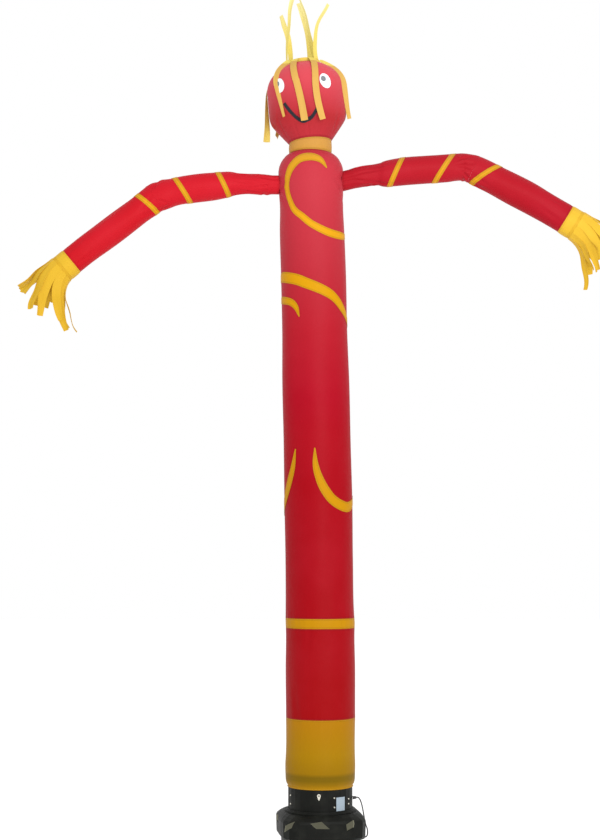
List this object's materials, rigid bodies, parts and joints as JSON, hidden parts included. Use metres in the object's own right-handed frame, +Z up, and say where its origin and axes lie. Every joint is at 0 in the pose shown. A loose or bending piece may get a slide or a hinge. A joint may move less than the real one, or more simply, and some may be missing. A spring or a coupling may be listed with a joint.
{
  "type": "inflatable air dancer on a blower",
  "caption": "Inflatable air dancer in red nylon with yellow swirls, cuffs and ribbon fringes, standing on its blower.",
  "frame": {"origin": "on the floor, under the axis of the blower's outlet", "axes": "+Z up, -Y is the way the face looks, +X to the right in the front view"},
  "size_m": [4.1235, 0.5888, 5.9375],
  "materials": {
    "red_nylon": "satin",
    "yellow_nylon": "satin",
    "white_nylon": "satin",
    "grey_nylon": "satin",
    "black_nylon": "satin",
    "black_plastic": "satin",
    "lead_rubber": "matte",
    "zinc_steel": "satin",
    "plate_aluminium": "satin"
  },
  "bodies": {
    "root": {"blower_housing": "black_plastic", "outlet_collar": "black_plastic", "outlet_flange": "black_plastic", "rivet_1": "zinc_steel", "rivet_2": "zinc_steel", "rivet_3": "zinc_steel", "rivet_4": "zinc_steel", "rivet_5": "zinc_steel", "rivet_6": "zinc_steel", "tether_eye": "zinc_steel", "blank_plate": "plate_aluminium", "collar_gland": "lead_rubber", "housing_gland": "lead_rubber", "motor_lead": "lead_rubber", "cuff": "yellow_nylon", "lower_panel": "red_nylon", "waist_band": "yellow_nylon", "body": "red_nylon", "neck": "yellow_nylon", "head": "red_nylon", "left_upper_arm": "red_nylon", "left_fore_arm": "red_nylon", "left_hand": "yellow_nylon", "left_fringe": "yellow_nylon", "right_upper_arm": "red_nylon", "right_fore_arm": "red_nylon", "right_hand": "yellow_nylon", "right_fringe": "yellow_nylon", "arm_band_1": "yellow_nylon", "arm_band_2": "yellow_nylon", "arm_band_3": "yellow_nylon", "arm_band_4": "yellow_nylon", "arm_band_5": "yellow_nylon", "arm_band_6": "yellow_nylon", "swirl_chest": "yellow_nylon", "swirl_belly": "yellow_nylon", "swirl_hook": "yellow_nylon", "swirl_hip": "yellow_nylon", "swirl_side": "yellow_nylon", "eye_left": "white_nylon", "eye_right": "white_nylon", "pupil_left": "grey_nylon", "pupil_right": "grey_nylon", "smile": "black_nylon", "hair": "yellow_nylon"}
  },
  "joints": []
}
